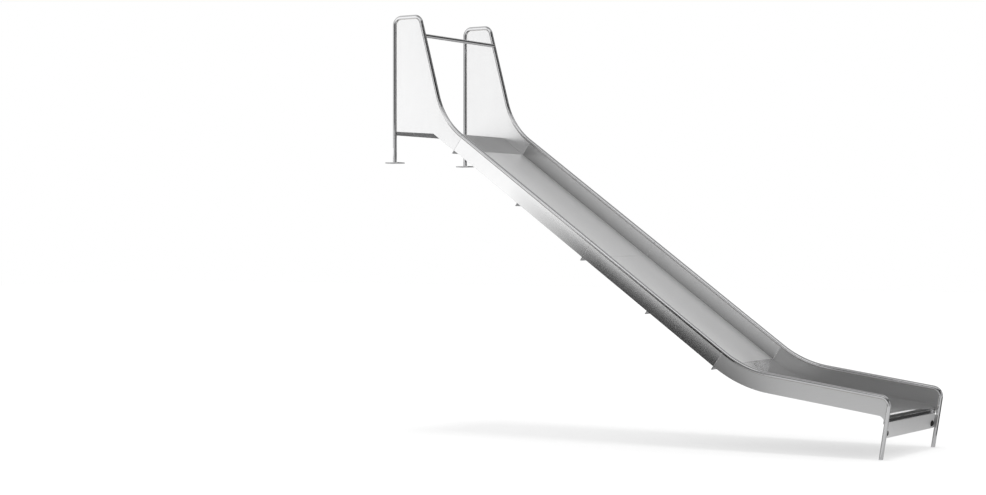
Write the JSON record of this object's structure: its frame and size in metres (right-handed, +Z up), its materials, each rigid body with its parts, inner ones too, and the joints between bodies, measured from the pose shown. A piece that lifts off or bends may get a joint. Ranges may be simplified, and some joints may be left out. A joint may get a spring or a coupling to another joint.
{
  "type": "embankment slide",
  "caption": "Wide stainless embankment slide with tall start side panels, a guard bar, a straight chute with low walls and a level run-out on two legs.",
  "frame": {"origin": "on the ground at the exit legs' feet, midway along the slide's overall length and between its rails", "axes": "+X runs downhill from the start to the exit, +Y runs across to the slider's left, +Z is up"},
  "size_m": [4.1182, 1.1, 3.2163],
  "materials": {
    "sheet": "satin brushed stainless sheet, grain along the slide",
    "tube": "polished stainless tube",
    "fitting": "plain mill-finish stainless",
    "cap": "black moulded plastic"
  },
  "bodies": {
    "root": {"right_start_panel": "sheet", "left_start_panel": "sheet", "start_floor": "sheet", "right_upper_chute_wall": "sheet", "left_upper_chute_wall": "sheet", "upper_chute_floor": "sheet", "right_lower_chute_wall": "sheet", "left_lower_chute_wall": "sheet", "lower_chute_floor": "sheet", "right_exit_wall": "sheet", "left_exit_wall": "sheet", "exit_floor": "sheet", "cross_plate": "sheet", "right_start_rail": "tube", "left_start_rail": "tube", "guard_bar": "tube", "right_upper_chute_rail": "tube", "left_upper_chute_rail": "tube", "right_lower_chute_rail": "tube", "left_lower_chute_rail": "tube", "right_exit_rail": "tube", "left_exit_rail": "tube", "right_anchor_plate": "fitting", "left_anchor_plate": "fitting", "start_floor_stiffener": "fitting", "upper_chute_stiffener": "fitting", "lower_chute_stiffener": "fitting", "right_foot_plug": "fitting", "left_foot_plug": "fitting", "right_leg_bracket": "fitting", "left_leg_bracket": "fitting", "right_cover_bolt": "fitting", "left_cover_bolt": "fitting", "right_cover_nut": "fitting", "left_cover_nut": "fitting", "start_seam_upper_angle": "fitting", "start_seam_lower_angle": "fitting", "start_seam_right_spigot": "fitting", "start_seam_left_spigot": "fitting", "start_seam_bolt_1": "fitting", "start_seam_bolt_2": "fitting", "start_seam_bolt_3": "fitting", "middle_seam_upper_angle": "fitting", "middle_seam_lower_angle": "fitting", "middle_seam_right_spigot": "fitting", "middle_seam_left_spigot": "fitting", "middle_seam_bolt_1": "fitting", "middle_seam_bolt_2": "fitting", "middle_seam_bolt_3": "fitting", "exit_seam_upper_angle": "fitting", "exit_seam_lower_angle": "fitting", "exit_seam_right_spigot": "fitting", "exit_seam_left_spigot": "fitting", "exit_seam_bolt_1": "fitting", "exit_seam_bolt_2": "fitting", "exit_seam_bolt_3": "fitting", "right_bolt_cap": "cap", "left_bolt_cap": "cap"}
  },
  "joints": []
}
